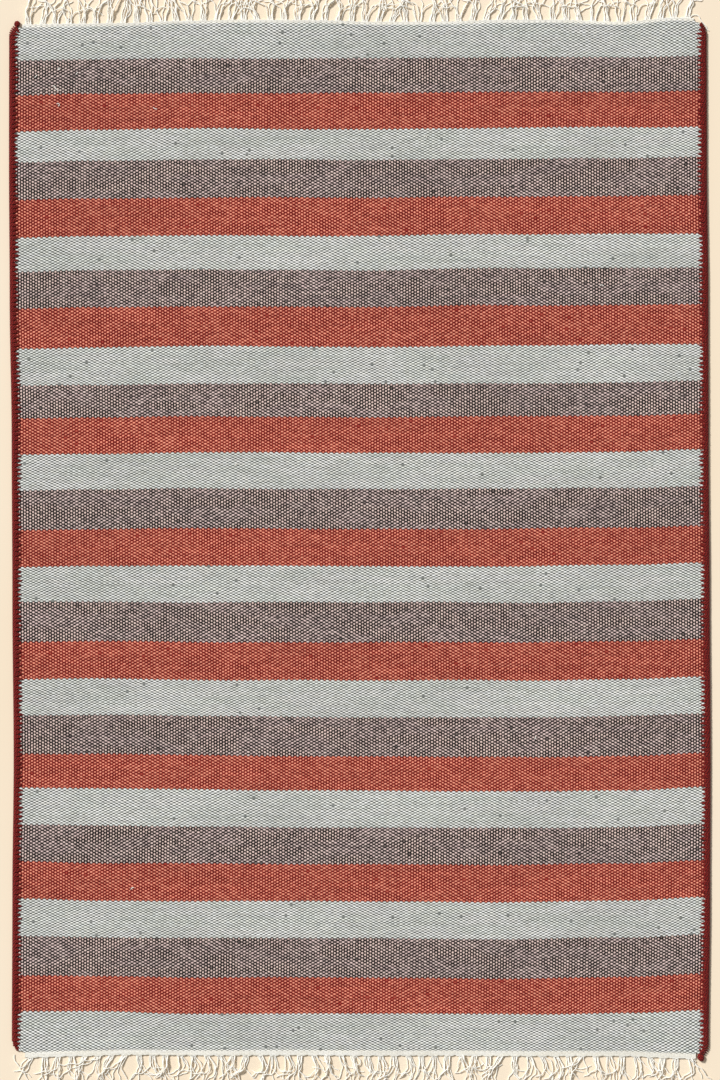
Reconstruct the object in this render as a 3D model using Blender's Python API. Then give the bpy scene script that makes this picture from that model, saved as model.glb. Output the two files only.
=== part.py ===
"""A striped flatweave rug with whipped selvedges and a cotton fringe at both ends.

Frame: X across the rug, Y along it with the far end at +Y, Z up. The rug lies on z = 0 with its middle at the
origin. Metres throughout.
"""

import math
import random

import bmesh
import bpy

# Woven ground
CLOTH_WIDTH = 1.208
CLOTH_LENGTH = 1.802
CLOTH_THICK = 0.005
SOFT_EDGE = 0.0008
CORNER_RADIUS = 0.014
CORNER_ARC_STEPS = 5
CUT_MERGE = 0.00003
SEAM_GAP = 0.0003

# Depth of the stripes from the far end to the near end; the last sage stripe takes what is left
STRIPES = (
    # sage, grey, red
    (0.060, 0.061, 0.063),
    (0.054, 0.067, 0.067),
    (0.060, 0.065, 0.070),
    (0.065, 0.058, 0.063),
    (0.063, 0.070, 0.065),
    (0.063, 0.070, 0.067),
    (0.065, 0.070, 0.060),
    (0.064, 0.064, 0.065),
    (0.065, 0.070, 0.063),
)

# How far the hand-beaten cloth wanders from a true rectangle
SIDE_WAVER = (
    # along, left side, right side; plus is towards +X
    (-0.89, 0.0011, 0.0000),
    (-0.63, 0.0020, 0.0025),
    (-0.39, 0.0043, 0.0033),
    (-0.11, 0.0020, 0.0018),
    (0.17, 0.0008, 0.0000),
    (0.42, -0.0027, -0.0005),
    (0.66, -0.0039, -0.0032),
    (0.90, -0.0036, -0.0037),
)
END_WAVER = (
    # across, near end, far end; plus is towards +Y
    (-0.60, -0.0026, -0.0058),
    (-0.49, -0.0002, -0.0035),
    (-0.41, 0.0018, -0.0026),
    (-0.31, 0.0013, 0.0009),
    (-0.19, 0.0009, 0.0035),
    (-0.09, 0.0009, 0.0026),
    (0.02, 0.0009, -0.0005),
    (0.12, 0.0005, -0.0005),
    (0.25, 0.0000, 0.0026),
    (0.35, -0.0002, 0.0030),
    (0.46, -0.0005, -0.0005),
    (0.56, -0.0040, 0.0067),
    (0.60, -0.0053, 0.0053),
)

# Whipped selvedges: the section across the binding, as shares of its width and height, from its seam outwards
SELVEDGE_WIDTH = 0.008
SELVEDGE_HEIGHT = 0.0056
SELVEDGE_SECTION = (
    # out, up
    (0.00, 0.20),
    (0.12, 0.00),
    (0.80, 0.00),
    (1.00, 0.25),
    (1.00, 0.70),
    (0.78, 1.00),
    (0.25, 1.00),
    (0.00, 0.78),
)
# Size of the binding as it turns round a cloth corner and ends there, in a knot or tapered off
KNOT = (
    # degrees round the corner, size
    (0, 1.00),
    (15, 1.00),
    (34, 1.05),
    (50, 1.40),
    (64, 1.60),
    (74, 1.35),
    (80, 0.60),
)
TAPER = (
    # degrees round the corner, size
    (0, 1.00),
    (7, 0.95),
    (15, 0.85),
    (24, 0.70),
    (34, 0.52),
    (44, 0.35),
)

# Cream heading bands and the warp ends that hang out of them, gathered in bundles of three locks
HEADING_THICK = 0.004
FAR_HEADING = 0.005
NEAR_HEADING = 0.010
LOCK_WIDTHS = (0.0032, 0.0022, 0.0032)
LOCK_ROOT_STEP = 0.0034
LOCK_CLEAR = 0.0006
LOCK_SECTIONS = (
    # out from the heading, height, share of the root's width
    (0.000, 0.0040, 1.00),
    (0.009, 0.0026, 0.95),
    (0.022, 0.0022, 0.95),
    (0.038, 0.0022, 0.90),
    (0.060, 0.0020, 0.80),
)
SHORTEST_BY = 0.010
LOCK_STRAY = 0.0015
SLOPE_AT_ROOT = 0.6
EASING_ROUNDS = 60

# How each bundle lies, from left to right, one mark a bundle
FAR_FRINGE = "|RrvrvrRrVVlL|rR|L||rrrRrrRR|VrlrrRRrlL|lLr|VvRrvR"
NEAR_FRINGE = "(|lVLL((rrl)R))ll)v)l)r)Rrrr)rrlR|r(|)))r(rR|))|l)"
LAYS = {
    # mark: sideways at the tip, belly to the side half way, fan to each side at the tip
    "|": (0.000, 0.000, 0.004),
    "r": (0.010, 0.000, 0.003),
    "R": (0.020, 0.001, 0.003),
    "l": (-0.009, 0.000, 0.003),
    "L": (-0.018, -0.001, 0.003),
    "v": (0.002, 0.000, 0.006),
    "V": (0.000, 0.000, 0.011),
    ")": (-0.002, 0.010, 0.003),
    "(": (0.002, -0.011, 0.003),
}
FRINGE_SEED = 7

LEFT, RIGHT = -1, 1
NEAR, FAR = -1, 1

SAGE = (184, 184, 177)
GREY = (133, 118, 113)
RED = (169, 87, 74)
OXBLOOD = (104, 22, 18)
CREAM = (236, 230, 216)
YARN_ROUGHNESS = 0.9


def clear_scene():
    for leftover in list(bpy.data.objects):
        bpy.data.objects.remove(leftover, do_unlink=True)


def linear(step):
    """One channel of a colour as seen, 0 to 255, as the shader's linear value."""
    share = step / 255
    return share / 12.92 if share <= 0.04045 else ((share + 0.055) / 1.055) ** 2.4


def yarn_material(name, tint):
    material = bpy.data.materials.new(name)
    material.use_nodes = True
    shader = material.node_tree.nodes["Principled BSDF"]
    shader.inputs["Base Color"].default_value = [linear(step) for step in tint] + [1.0]
    shader.inputs["Roughness"].default_value = YARN_ROUGHNESS
    shader.inputs["Metallic"].default_value = 0.0
    return material


def place_object(name, bm, materials, parent):
    """Turns a finished bmesh into a named object that hangs from the rug's empty."""
    bmesh.ops.recalc_face_normals(bm, faces=bm.faces)
    mesh = bpy.data.meshes.new(name)
    bm.to_mesh(mesh)
    bm.free()
    for material in materials:
        mesh.materials.append(material)
    thing = bpy.data.objects.new(name, mesh)
    bpy.context.scene.collection.objects.link(thing)
    thing.parent = parent
    return thing


def read_table(table, at, column):
    """One column of a short table at a place between its rows, eased from row to row."""
    if at <= table[0][0]:
        return table[0][column]
    for low, high in zip(table, table[1:]):
        if at <= high[0]:
            share = (at - low[0]) / (high[0] - low[0])
            eased = share * share * (3 - 2 * share)
            return low[column] + (high[column] - low[column]) * eased
    return table[-1][column]


def side_x(side, along):
    """Where the cloth's left or right edge runs at a place along the rug."""
    column = 1 if side == LEFT else 2
    return side * CLOTH_WIDTH / 2 + read_table(SIDE_WAVER, along, column)


def end_y(end, across):
    """Where the cloth's near or far edge runs at a place across the rug."""
    column = 1 if end == NEAR else 2
    return end * CLOTH_LENGTH / 2 + read_table(END_WAVER, across, column)


def corner_centre(side, end):
    """Middle of the arc that rounds one corner of the cloth."""
    across = side_x(side, end * (CLOTH_LENGTH / 2 - CORNER_RADIUS)) - side * CORNER_RADIUS
    along = end_y(end, side * (CLOTH_WIDTH / 2 - CORNER_RADIUS)) - end * CORNER_RADIUS
    return across, along


def stripe_edges():
    """The lines between the stripes, from the near end to the far end."""
    edges = []
    along = CLOTH_LENGTH / 2
    for repeat in STRIPES:
        for depth in repeat:
            along -= depth
            edges.append(along)
    return edges[::-1]


def bundle_edges(end):
    """The places across the rug where one bundle's share of the heading meets the next."""
    bundles = len(NEAR_FRINGE if end == NEAR else FAR_FRINGE)
    first = corner_centre(LEFT, end)[0]
    last = corner_centre(RIGHT, end)[0]
    return [first + (last - first) * step / bundles for step in range(bundles + 1)]


def corner_arc(side, end, inset):
    """Points round one corner of the cloth, from its end to its side, without the arc's two ends."""
    across, along = corner_centre(side, end)
    radius = CORNER_RADIUS - inset
    points = []
    for step in range(1, CORNER_ARC_STEPS):
        turn = math.pi / 2 * (1 - step / CORNER_ARC_STEPS)
        points.append((across + side * radius * math.cos(turn), along + end * radius * math.sin(turn)))
    return points


def cloth_outline(inset, height):
    """The cloth's outline at a height, drawn in by the inset, running anticlockwise from its near left."""
    corner_along = {(s, e): corner_centre(s, e)[1] for s in (LEFT, RIGHT) for e in (NEAR, FAR)}
    flat = [(across, end_y(NEAR, across) + inset) for across in bundle_edges(NEAR)]
    flat += corner_arc(RIGHT, NEAR, inset)
    right = [corner_along[RIGHT, NEAR]] + stripe_edges() + [corner_along[RIGHT, FAR]]
    flat += [(side_x(RIGHT, along) - inset, along) for along in right]
    flat += corner_arc(RIGHT, FAR, inset)[::-1]
    flat += [(across, end_y(FAR, across) - inset) for across in bundle_edges(FAR)[::-1]]
    flat += corner_arc(LEFT, FAR, inset)
    left = [corner_along[LEFT, FAR]] + stripe_edges()[::-1] + [corner_along[LEFT, NEAR]]
    flat += [(side_x(LEFT, along) + inset, along) for along in left]
    flat += corner_arc(LEFT, NEAR, inset)[::-1]
    return [(across, along, height) for across, along in flat]


def extend(bm, face, places):
    """Extrudes one face and puts the new face's corners at the given places."""
    grown = bmesh.ops.extrude_discrete_faces(bm, faces=[face])["faces"][0]
    for corner, place in zip(grown.verts, places):
        corner.co = place
    return grown


def sweep(bm, outlines):
    """A closed solid that runs through outlines of equal point counts."""
    start = [bm.verts.new(place) for place in outlines[0]]
    face = bm.faces.new(start)
    for places in outlines[1:]:
        face = extend(bm, face, places)
    bm.faces.new(start[::-1])
    return start


def build_cloth(weft_materials, parent):
    """The woven ground, flat below, its upper rim softened, with one face for each stripe."""
    bm = bmesh.new()
    outlines = [
        cloth_outline(0.0, 0.0),
        cloth_outline(0.0, CLOTH_THICK - SOFT_EDGE),
        cloth_outline(SOFT_EDGE, CLOTH_THICK),
    ]
    sweep(bm, outlines)
    edges = stripe_edges()
    for along in edges:
        everything = list(bm.verts) + list(bm.edges) + list(bm.faces)
        bmesh.ops.bisect_plane(
            bm, geom=everything, dist=CUT_MERGE, plane_co=(0, along, 0), plane_no=(0, 1, 0)
        )
    for face in bm.faces:
        along = face.calc_center_median().y
        stripes_beyond = sum(edge > along for edge in edges)
        face.material_index = stripes_beyond % len(weft_materials)
    return place_object("rug_body", bm, weft_materials, parent)


def binding_ring(edge_point, outward, size):
    """The binding's section at one place, its seam side held just off the cloth's edge."""
    ring = []
    for out, up in SELVEDGE_SECTION:
        reach = SEAM_GAP + out * SELVEDGE_WIDTH * size
        across = edge_point[0] + outward[0] * reach
        along = edge_point[1] + outward[1] * reach
        ring.append((across, along, up * SELVEDGE_HEIGHT * size))
    return ring


def binding_round_corner(side, end, sizes):
    """Rings of binding from a side of the cloth round towards its end."""
    across, along = corner_centre(side, end)
    rings = []
    for degrees, size in sizes:
        turn = math.radians(degrees)
        outward = (side * math.cos(turn), end * math.sin(turn))
        edge_point = (across + CORNER_RADIUS * outward[0], along + CORNER_RADIUS * outward[1])
        rings.append(binding_ring(edge_point, outward, size))
    return rings


def build_selvedge(name, side, near_sizes, far_sizes, material, parent):
    """Yarn whipped over one side of the cloth, kept as a bar of its outer form."""
    bm = bmesh.new()
    rings = binding_round_corner(side, NEAR, near_sizes)[::-1]
    rings += [binding_ring((side_x(side, along), along), (side, 0), 1.0) for along in stripe_edges()]
    rings += binding_round_corner(side, FAR, far_sizes)
    sweep(bm, rings)
    return place_object(name, bm, [material], parent)


def lock_rows(end):
    """For each lock: its root's width, its place across at each section and how far its tip falls short."""
    draw = random.Random(FRINGE_SEED + end)
    edges = bundle_edges(end)
    marks = NEAR_FRINGE if end == NEAR else FAR_FRINGE
    length = LOCK_SECTIONS[-1][0]
    locks = []
    for mark, low, high in zip(marks, edges, edges[1:]):
        lean, belly, fan = LAYS[mark]
        stray = draw.uniform(-LOCK_STRAY, LOCK_STRAY)
        for number, width in enumerate(LOCK_WIDTHS):
            rank = number - 1
            root = (low + high) / 2 + rank * LOCK_ROOT_STEP
            tip = lean + rank * fan + stray + draw.uniform(-LOCK_STRAY, LOCK_STRAY)
            places = []
            for out, _, _ in LOCK_SECTIONS:
                share = out / length
                sway = tip * share * (SLOPE_AT_ROOT + (1 - SLOPE_AT_ROOT) * share)
                bow = belly * math.sin(math.pi * share)
                places.append(root + sway + bow)
            locks.append((width, places, draw.uniform(0.0, SHORTEST_BY)))
    return locks


def keep_apart(locks):
    """Eases locks sideways at each section until every one lies clear of the next."""
    for section in range(1, len(LOCK_SECTIONS)):
        slimmer = LOCK_SECTIONS[section][2]
        for _ in range(EASING_ROUNDS):
            for (width, places, _), (next_width, next_places, _) in zip(locks, locks[1:]):
                need = (width + next_width) / 2 * slimmer + LOCK_CLEAR
                short = need - (next_places[section] - places[section])
                if short > 0:
                    places[section] -= short / 2
                    next_places[section] += short / 2
    return locks


def heading_outline(end, width, locks):
    """The heading band's outline on the floor, and the pairs of its points that each lock springs from."""
    inner_gap = end * SEAM_GAP
    outer_gap = end * (SEAM_GAP + width)
    edges = bundle_edges(end)
    inner = [(across, end_y(end, across) + inner_gap, 0.0) for across in edges]
    outer_places = [(across, None) for across in edges]
    for number, (lock_width, places, _) in enumerate(locks):
        outer_places.append((places[0] - lock_width / 2, number))
        outer_places.append((places[0] + lock_width / 2, number))
    outer_places.sort(key=lambda place: place[0])
    outer = [(across, end_y(end, across) + outer_gap, 0.0) for across, _ in outer_places]
    owners = [number for _, number in outer_places]
    return outer + inner[::-1], owners


def grow_lock(bm, root_face, end, heading_width, lock):
    """Extrudes one lock out of the heading's side, lying flat on the floor."""
    width, places, short = lock
    middle = places[0]
    start = end_y(end, middle) + end * (SEAM_GAP + heading_width)
    half_height = HEADING_THICK / 2
    corners = [(corner.co.x > middle, corner.co.z > half_height) for corner in root_face.verts]
    face = root_face
    last = len(LOCK_SECTIONS) - 1
    for section in range(1, last + 1):
        out, height, slimmer = LOCK_SECTIONS[section]
        across = places[section]
        if section == last:
            share = short / (out - LOCK_SECTIONS[section - 1][0])
            across += (places[section - 1] - across) * share
            out -= short
        spots = []
        for on_right, on_top in corners:
            offset = width * slimmer / 2 * (1 if on_right else -1)
            spots.append((across + offset, start + end * out, height if on_top else 0.0))
        face = extend(bm, face, spots)


def build_fringe(name, end, heading_width, material, parent):
    """A heading band and its warp ends, one solid."""
    bm = bmesh.new()
    locks = keep_apart(lock_rows(end))
    flat, owners = heading_outline(end, heading_width, locks)
    raised = [(across, along, HEADING_THICK) for across, along, _ in flat]
    floor_points = sweep(bm, [flat, raised])
    root_faces = []
    for first in range(len(owners) - 1):
        number = owners[first]
        if number is None or owners[first + 1] != number:
            continue
        edge = bm.edges.get((floor_points[first], floor_points[first + 1]))
        wall = next(face for face in edge.link_faces if len(face.verts) == 4)
        root_faces.append((wall, locks[number]))
    for wall, lock in root_faces:
        grow_lock(bm, wall, end, heading_width, lock)
    return place_object(name, bm, [material], parent)


def build_rug():
    clear_scene()
    rug = bpy.data.objects.new("rug", None)
    bpy.context.scene.collection.objects.link(rug)
    wefts = [
        yarn_material("sage_weft", SAGE),
        yarn_material("grey_weft", GREY),
        yarn_material("red_weft", RED),
    ]
    binding = yarn_material("red_binding", OXBLOOD)
    cotton = yarn_material("cream_cotton", CREAM)
    build_cloth(wefts, rug)
    build_selvedge("selvedge_left", LEFT, TAPER, KNOT, binding, rug)
    build_selvedge("selvedge_right", RIGHT, KNOT, TAPER, binding, rug)
    build_fringe("fringe_near", NEAR, NEAR_HEADING, cotton, rug)
    build_fringe("fringe_far", FAR, FAR_HEADING, cotton, rug)


build_rug()
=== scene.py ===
"""The striped flatweave rug as its photo shows it: every weft float, binding stitch and fringe yarn.

Frame: X across the rug, Y along it with the far end at +Y, Z up, metres. The rug lies on z = 0.
"""

import math
import random

import bmesh
import bpy
import numpy as np
from mathutils import Matrix, Vector


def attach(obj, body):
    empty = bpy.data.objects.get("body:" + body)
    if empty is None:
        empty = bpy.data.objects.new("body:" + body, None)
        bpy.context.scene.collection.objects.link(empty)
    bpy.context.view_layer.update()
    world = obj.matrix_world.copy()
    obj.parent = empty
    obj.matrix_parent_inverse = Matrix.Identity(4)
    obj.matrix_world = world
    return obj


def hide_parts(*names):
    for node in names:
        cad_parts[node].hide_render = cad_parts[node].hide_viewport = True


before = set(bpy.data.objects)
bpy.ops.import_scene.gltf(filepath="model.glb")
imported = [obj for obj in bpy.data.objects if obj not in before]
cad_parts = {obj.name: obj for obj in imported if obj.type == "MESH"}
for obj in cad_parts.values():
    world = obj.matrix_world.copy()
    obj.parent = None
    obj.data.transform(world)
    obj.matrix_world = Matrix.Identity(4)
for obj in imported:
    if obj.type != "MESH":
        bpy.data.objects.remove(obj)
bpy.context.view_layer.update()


# Woven ground
# Weft-faced plain weave of thick handspun wool on cotton warps, beaten so close that no warp shows. A change
# of weft colour makes each stripe, and each float of weft over one warp shows as a pip. It is woven by hand,
# so its sides waver, its lines bow, and the colour drifts from pick to pick.

CLOTH_WIDTH = 1.208
CLOTH_LENGTH = 1.802
CORNER_RADIUS = 0.014
STRIPES = (
    # sage, grey, red: depths from the far end; the last sage stripe takes what is left
    (0.060, 0.061, 0.063),
    (0.054, 0.067, 0.067),
    (0.060, 0.065, 0.070),
    (0.065, 0.058, 0.063),
    (0.063, 0.070, 0.065),
    (0.063, 0.070, 0.067),
    (0.065, 0.070, 0.060),
    (0.064, 0.064, 0.065),
    (0.065, 0.070, 0.063),
)
SIDE_WAVER = (
    # along, left side, right side; plus is towards +X
    (-0.89, 0.0011, 0.0000),
    (-0.63, 0.0020, 0.0025),
    (-0.39, 0.0043, 0.0033),
    (-0.11, 0.0020, 0.0018),
    (0.17, 0.0008, 0.0000),
    (0.42, -0.0027, -0.0005),
    (0.66, -0.0039, -0.0032),
    (0.90, -0.0036, -0.0037),
)
END_WAVER = (
    # across, near end, far end; plus is towards +Y
    (-0.60, -0.0026, -0.0058),
    (-0.49, -0.0002, -0.0035),
    (-0.41, 0.0018, -0.0026),
    (-0.31, 0.0013, 0.0009),
    (-0.19, 0.0009, 0.0035),
    (-0.09, 0.0009, 0.0026),
    (0.02, 0.0009, -0.0005),
    (0.12, 0.0005, -0.0005),
    (0.25, 0.0000, 0.0026),
    (0.35, -0.0002, 0.0030),
    (0.46, -0.0005, -0.0005),
    (0.56, -0.0040, 0.0067),
    (0.60, -0.0053, 0.0053),
)
BOW_ACROSS = (-0.60, -0.47, -0.28, 0.0, 0.28, 0.47, 0.60)
LINE_BOW = (
    # along, then how far a stripe line lies towards +Y at each place of BOW_ACROSS
    (-0.80, 0.0042, 0.0034, 0.0003, 0.0003, -0.0013, 0.0012, 0.0066),
    (-0.64, 0.0038, 0.0006, -0.0010, -0.0004, -0.0023, 0.0003, 0.0062),
    (-0.41, 0.0050, 0.0050, 0.0032, 0.0000, -0.0009, 0.0017, 0.0070),
    (-0.18, -0.0005, 0.0006, -0.0008, -0.0008, -0.0017, 0.0012, 0.0052),
    (0.10, -0.0027, -0.0011, 0.0012, 0.0002, 0.0005, 0.0023, 0.0056),
    (0.44, -0.0029, -0.0006, 0.0017, 0.0004, 0.0033, 0.0045, 0.0055),
    (0.72, -0.0047, -0.0016, 0.0004, -0.0003, 0.0019, 0.0026, 0.0043),
)
LINE_STRAY, LINE_WAVE = 0.0007, 0.7
PICK_STRAY, PICK_WAVE, PICK_WAVE_PARTS = 0.00014, 0.5, 6
SWAY, SWAY_ACROSS, SWAY_ALONG = 0.00025, 21, 9
WARP_STRAY = 0.0003
WARP_WAVES = (
    # radians a warp, radians a metre along it
    (1.7, 31),
    (0.37, 17),
)
HELD_WARPS = 4
WAVES_TOGETHER = 1.4

WARP_STEPS = 251
SAGE_PICK = 0.00245
DARK_PICK = 0.00276
HEADING_PICK = 0.00125
FAR_HEADING_PICKS = 4
NEAR_HEADING_PICKS = 8
BUNDLES = 50
FAR_SCALLOP = 0.0009
NEAR_SCALLOP = 0.0020

CLOTH_THICK = 0.005
FLOAT_RELIEF = 0.0011
HEADING_LOW, HEADING_HIGH = 0.0004, 0.0038
HEADING_RELIEF = 0.0005
FLOAT_STRAY = 0.00012
EDGE_SQUEEZE = 0.0007
EDGE_SQUEEZE_REACH = 0.009

CLOTH_SEED = 3

LEFT, RIGHT = -1, 1
NEAR, FAR = -1, 1
TURN = 2 * math.pi


def read_table(table, at, column):
    """One column of a table at a place or places between its rows, eased from row to row."""
    rows = np.array(table)
    low = np.clip(np.searchsorted(rows[:, 0], at, side="right") - 1, 0, len(rows) - 2)
    share = np.clip((at - rows[low, 0]) / (rows[low + 1, 0] - rows[low, 0]), 0, 1)
    eased = share * share * (3 - 2 * share)
    return rows[low, column] + (rows[low + 1, column] - rows[low, column]) * eased


def side_x(side, along):
    return side * CLOTH_WIDTH / 2 + read_table(SIDE_WAVER, along, 1 if side == LEFT else 2)


def end_y(end, across):
    return end * CLOTH_LENGTH / 2 + read_table(END_WAVER, across, 1 if end == NEAR else 2)


def corner_centre(side, end):
    across = side_x(side, end * (CLOTH_LENGTH / 2 - CORNER_RADIUS)) - side * CORNER_RADIUS
    along = end_y(end, side * (CLOTH_WIDTH / 2 - CORNER_RADIUS)) - end * CORNER_RADIUS
    return float(across), float(along)


def bundle_arch(end, across):
    """1 between two bundles of warp ends, where they draw the heading in, and 0 in the middle of a bundle."""
    first, last = corner_centre(LEFT, end)[0], corner_centre(RIGHT, end)[0]
    return 0.5 + 0.5 * np.cos(TURN * BUNDLES * (across - first) / (last - first))


def soft_waves(draw, places, longest, count=4):
    """A smooth wandering line through places, about plus and minus one."""
    total = 0
    for number in range(count):
        total = total + np.sin(TURN * (places * (number + 1) / longest + draw.uniform())) / (number + 1)
    return total / WAVES_TOGETHER


def lay_out_cloth():
    """Where every crossing of pick and warp lies, and the pick at which each stripe begins."""
    draw = np.random.default_rng(CLOTH_SEED)
    warps = np.arange(WARP_STEPS + 1)
    across = CLOTH_WIDTH * (warps / WARP_STEPS - 0.5)
    depths = [depth for repeat in STRIPES for depth in repeat]
    depths.append(CLOTH_LENGTH - sum(depths))
    starts = [0]
    for number, depth in enumerate(depths):
        starts.append(starts[-1] + round(depth / (SAGE_PICK if number % 3 == 0 else DARK_PICK)))
    picks = starts[-1]

    from_side = np.minimum(across - across[0], across[-1] - across)
    into_corner = CORNER_RADIUS - np.minimum(from_side, CORNER_RADIUS)
    drop = CORNER_RADIUS - np.sqrt(CORNER_RADIUS**2 - into_corner**2)
    far_line = end_y(FAR, across) - drop
    near_line = end_y(NEAR, across) + drop
    lines = [far_line]
    for line_y in CLOTH_LENGTH / 2 - np.cumsum(depths[:-1]):
        bow = [read_table(LINE_BOW, line_y, column + 1) for column in range(len(BOW_ACROSS))]
        eased = read_table(list(zip(BOW_ACROSS, bow)), across, 1)
        lines.append(line_y + eased + LINE_STRAY * soft_waves(draw, across, LINE_WAVE))
    lines.append(near_line)

    far_out = FAR_HEADING_PICKS + 1
    near_out = NEAR_HEADING_PICKS + 1
    far_arch, near_arch = bundle_arch(FAR, across), bundle_arch(NEAR, across)
    knots = [-1 - far_out, -1] + [start - 0.5 for start in starts] + [picks, picks + near_out]
    heights = [lines[0] + SAGE_PICK / 2 + far_out * HEADING_PICK - FAR_SCALLOP * far_arch]
    heights += [lines[0] + SAGE_PICK / 2] + lines + [lines[-1] - SAGE_PICK / 2]
    heights += [lines[-1] - SAGE_PICK / 2 - near_out * HEADING_PICK + NEAR_SCALLOP * near_arch]
    rows = np.arange(-1 - far_out, picks + near_out + 1)
    along = np.stack([np.interp(rows, knots, column) for column in np.array(heights).T], 1)
    for number in range(len(rows)):
        along[number] += PICK_STRAY * soft_waves(draw, across, PICK_WAVE, PICK_WAVE_PARTS)
    along += SWAY * np.sin(across * SWAY_ACROSS + along * SWAY_ALONG)

    left, right = side_x(LEFT, along), side_x(RIGHT, along)
    spread = left + (right - left) * warps / WARP_STEPS
    free = WARP_STRAY * np.clip(np.minimum(warps, WARP_STEPS - warps) / HELD_WARPS, 0, 1)
    short, long = (warps * a_warp + along * a_metre for a_warp, a_metre in WARP_WAVES)
    spread = spread + free * np.sin(short) * np.cos(long)

    floats_up = (rows[:, None] + warps) % 2 == 0
    stray = FLOAT_STRAY * draw.uniform(-1, 1, along.shape)
    squeeze = EDGE_SQUEEZE * np.clip(1 - from_side / EDGE_SQUEEZE_REACH, 0, 1)
    heading = (rows < 0) | (rows >= picks)
    relief = np.where(heading, HEADING_RELIEF, FLOAT_RELIEF)[:, None]
    high = np.where(heading, HEADING_HIGH, CLOTH_THICK)[:, None]
    low = np.where(heading, HEADING_LOW, 0.0)[:, None]
    upper = high - relief * ~floats_up + stray - squeeze
    lower = low + relief * floats_up + np.abs(stray) + squeeze
    return rows[0], starts, spread, along, upper, lower


FIRST_ROW, STRIPE_STARTS, CROSSING_X, CROSSING_Y, UPPER_Z, LOWER_Z = lay_out_cloth()


def fold_count(width, depth):
    """Into how many rows a long strip is folded to fill a square image."""
    return max(1, round(math.sqrt(width / depth)))


def new_weave():
    bm = bmesh.new()
    bm.loops.layers.uv.new("weave")
    bm.loops.layers.uv.new("OFBake")
    return bm


def weave_slab(bm, first, last, left, right, square=(0.0, 1.0)):
    """Weaves the cloth from pick first to pick last between two warps into an empty bmesh, closed all round.

    A grid gets a corner for every crossing, high where the weft runs over the warp and low where it dips. It
    is split along the dips, so each float is a hump. It ends along the dips too, which steps the border from
    float to float. A copy whose humps lie under the upper dips makes the underside. square is the share of
    the image's height that the faces take. Between its folds there is a pick's and a warp's room.
    """
    pick_mark, warp_mark, under_mark = (bm.verts.layers.int.new(name) for name in ("pick", "warp", "under"))
    columns, rows = right - left, last - first + 2
    bmesh.ops.create_grid(bm, x_segments=columns, y_segments=rows, size=0.5)
    for vert in bm.verts:
        vert[warp_mark] = left + round((vert.co.x + 0.5) * columns)
        vert[pick_mark] = first - 1 + round((vert.co.y + 0.5) * rows)
    upper = list(bm.verts)
    copied = bmesh.ops.duplicate(bm, geom=upper + list(bm.edges) + list(bm.faces))["geom"]
    under = [part for part in copied if isinstance(part, bmesh.types.BMVert)]
    for vert in under:
        vert[under_mark] = 1
    for vert in bm.verts:
        row, warp = vert[pick_mark] - FIRST_ROW, vert[warp_mark]
        height = LOWER_Z[row, warp] if vert[under_mark] else UPPER_Z[row, warp]
        vert.co = (CROSSING_X[row, warp], CROSSING_Y[row, warp], height)

    outer = (first - 1, last + 1)
    border = (first - 1, first, last, last + 1)
    weft_over = {vert: (vert[pick_mark] + vert[warp_mark]) % 2 == 0 for vert in bm.verts}
    upper_dips = [vert for vert in upper if not weft_over[vert]]
    under_dips = [vert for vert in under if weft_over[vert] and vert[pick_mark] not in outer]
    under_border = [vert for vert in under if not weft_over[vert] and vert[pick_mark] in border]
    outer_humps = [vert for vert in weft_over if weft_over[vert] and vert[pick_mark] in outer]
    for dips in (upper_dips, under_dips, under_border):
        bmesh.ops.connect_verts(bm, verts=dips)
    bmesh.ops.delete(bm, geom=outer_humps, context="VERTS")
    for face in bm.faces:
        face.smooth = True
    rims = [edge for edge in bm.edges if edge.is_boundary]
    for edge in rims:
        edge.smooth = False
    bmesh.ops.bridge_loops(bm, edges=rims)

    weave, bake = bm.loops.layers.uv["weave"], bm.loops.layers.uv["OFBake"]
    depth = abs(CROSSING_Y[last - FIRST_ROW, left] - CROSSING_Y[first - FIRST_ROW, left])
    folds = fold_count(columns * CLOTH_WIDTH / WARP_STEPS, depth + HEADING_PICK)
    run = math.ceil((columns + 2) / folds)
    for face in bm.faces:
        fold = (min(vert[warp_mark] + vert[under_mark] for vert in face.verts) - left) // run
        for loop in face.loops:
            warp = loop.vert[warp_mark] + loop.vert[under_mark]
            pick = loop.vert[pick_mark]
            loop[weave].uv = (warp, pick)
            along_fold = (warp - left - fold * run + 1) / (run + 4)
            up = (fold + (pick - first + 2) / (rows + 3)) / folds
            loop[bake].uv = (along_fold, square[0] + (square[1] - square[0]) * up)


def finish_piece(name, bm, materials, slot, *nodes):
    """Makes a bmesh into a piece of the rug that stands for CAD nodes."""
    while bm.verts.layers.int:
        bm.verts.layers.int.remove(bm.verts.layers.int[0])
    bmesh.ops.recalc_face_normals(bm, faces=bm.faces)
    mesh = bpy.data.meshes.new(name)
    bm.to_mesh(mesh)
    bm.free()
    for material in materials:
        mesh.materials.append(material)
    piece = bpy.data.objects.new(name, mesh)
    bpy.context.scene.collection.objects.link(piece)
    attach(piece, "root")
    if nodes:
        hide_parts(*nodes)
    return piece


def linear(tint):
    """A colour as seen, 0 to 255 a channel, as the shader's linear values."""
    shares = [step / 255 for step in tint]
    return [s / 12.92 if s <= 0.04045 else ((s + 0.055) / 1.055) ** 2.4 for s in shares] + [1.0]


def feed(tree, socket, value):
    if isinstance(value, bpy.types.NodeSocket):
        tree.links.new(value, socket)
    else:
        socket.default_value = value


def node(tree, kind, inputs, **settings):
    made = tree.nodes.new(kind)
    for name, value in settings.items():
        setattr(made, name, value)
    for name, value in inputs.items():
        feed(tree, made.inputs[name], value)
    return made


def calc(tree, operation, *values):
    return node(tree, "ShaderNodeMath", dict(enumerate(values)), operation=operation).outputs[0]


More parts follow.
